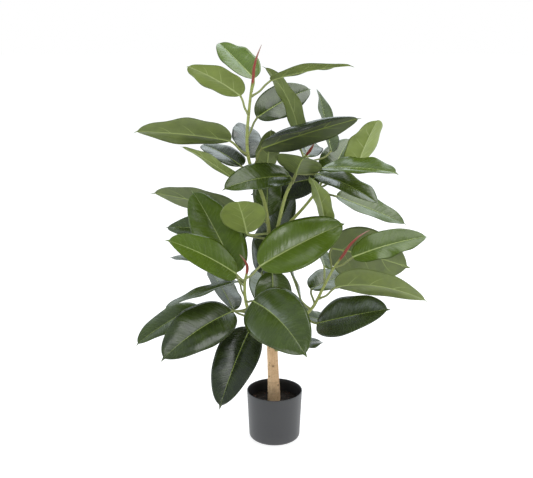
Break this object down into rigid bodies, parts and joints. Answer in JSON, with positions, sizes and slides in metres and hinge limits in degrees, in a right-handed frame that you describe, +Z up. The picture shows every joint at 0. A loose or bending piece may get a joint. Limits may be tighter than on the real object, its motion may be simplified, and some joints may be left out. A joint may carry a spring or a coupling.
{
  "type": "potted rubber plant",
  "caption": "Upright rubber plant with glossy oval leaves on branching stems, red bud sheaths and a pale trunk, standing in a plain round grey plastic pot.",
  "frame": {"origin": "middle of the pot's flat underside, on the plane it stands on", "axes": "+Z up along the trunk, +X to the plant's right-hand side as seen from the front, -Y towards the front"},
  "size_m": [0.6872, 0.5136, 0.9752],
  "materials": {
    "pot_plastic": "satin moulded plastic, dark grey",
    "potting_mix": "matte, damp potting mix with bark pieces",
    "bark": "matte tan bark with small dark specks",
    "green_stem": "satin yellow-green stem",
    "red_bud": "satin red bud sheath",
    "leaf": "glossy dark green above, satin olive green below"
  },
  "bodies": {
    "root": {"back_leaf_01": "leaf", "back_leaf_02": "leaf", "back_leaf_03": "leaf", "back_leaf_04": "leaf", "back_leaf_05": "leaf", "back_stem": "green_stem", "front_bud": "red_bud", "front_leaf_01": "leaf", "front_leaf_02": "leaf", "front_leaf_03": "leaf", "front_leaf_04": "leaf", "front_leaf_05": "leaf", "front_leaf_06": "leaf", "front_leaf_07": "leaf", "front_leaf_08": "leaf", "front_leaf_09": "leaf", "front_leaf_10": "leaf", "front_stem": "green_stem", "leader_bud": "red_bud", "leader_leaf_01": "leaf", "leader_leaf_02": "leaf", "leader_leaf_03": "leaf", "leader_leaf_04": "leaf", "leader_leaf_05": "leaf", "leader_leaf_06": "leaf", "leader_leaf_07": "leaf", "leader_leaf_08": "leaf", "leader_leaf_09": "leaf", "leader_leaf_10": "leaf", "leader_leaf_11": "leaf", "leader_leaf_12": "leaf", "leader_leaf_13": "leaf", "leader_leaf_14": "leaf", "leader_stem": "green_stem", "middle_bud": "red_bud", "middle_leaf_01": "leaf", "middle_leaf_02": "leaf", "middle_leaf_03": "leaf", "middle_leaf_04": "leaf", "middle_leaf_05": "leaf", "middle_leaf_06": "leaf", "middle_leaf_07": "leaf", "middle_stem": "green_stem", "pot": "pot_plastic", "right_bud": "red_bud", "right_leaf_01": "leaf", "right_leaf_02": "leaf", "right_leaf_03": "leaf", "right_leaf_04": "leaf", "right_leaf_05": "leaf", "right_leaf_06": "leaf", "right_leaf_07": "leaf", "right_leaf_08": "leaf", "right_stem": "green_stem", "soil": "potting_mix", "trunk": "bark", "trunk_leaf_01": "leaf", "trunk_leaf_02": "leaf", "trunk_leaf_03": "leaf", "trunk_leaf_04": "leaf"}
  },
  "joints": []
}
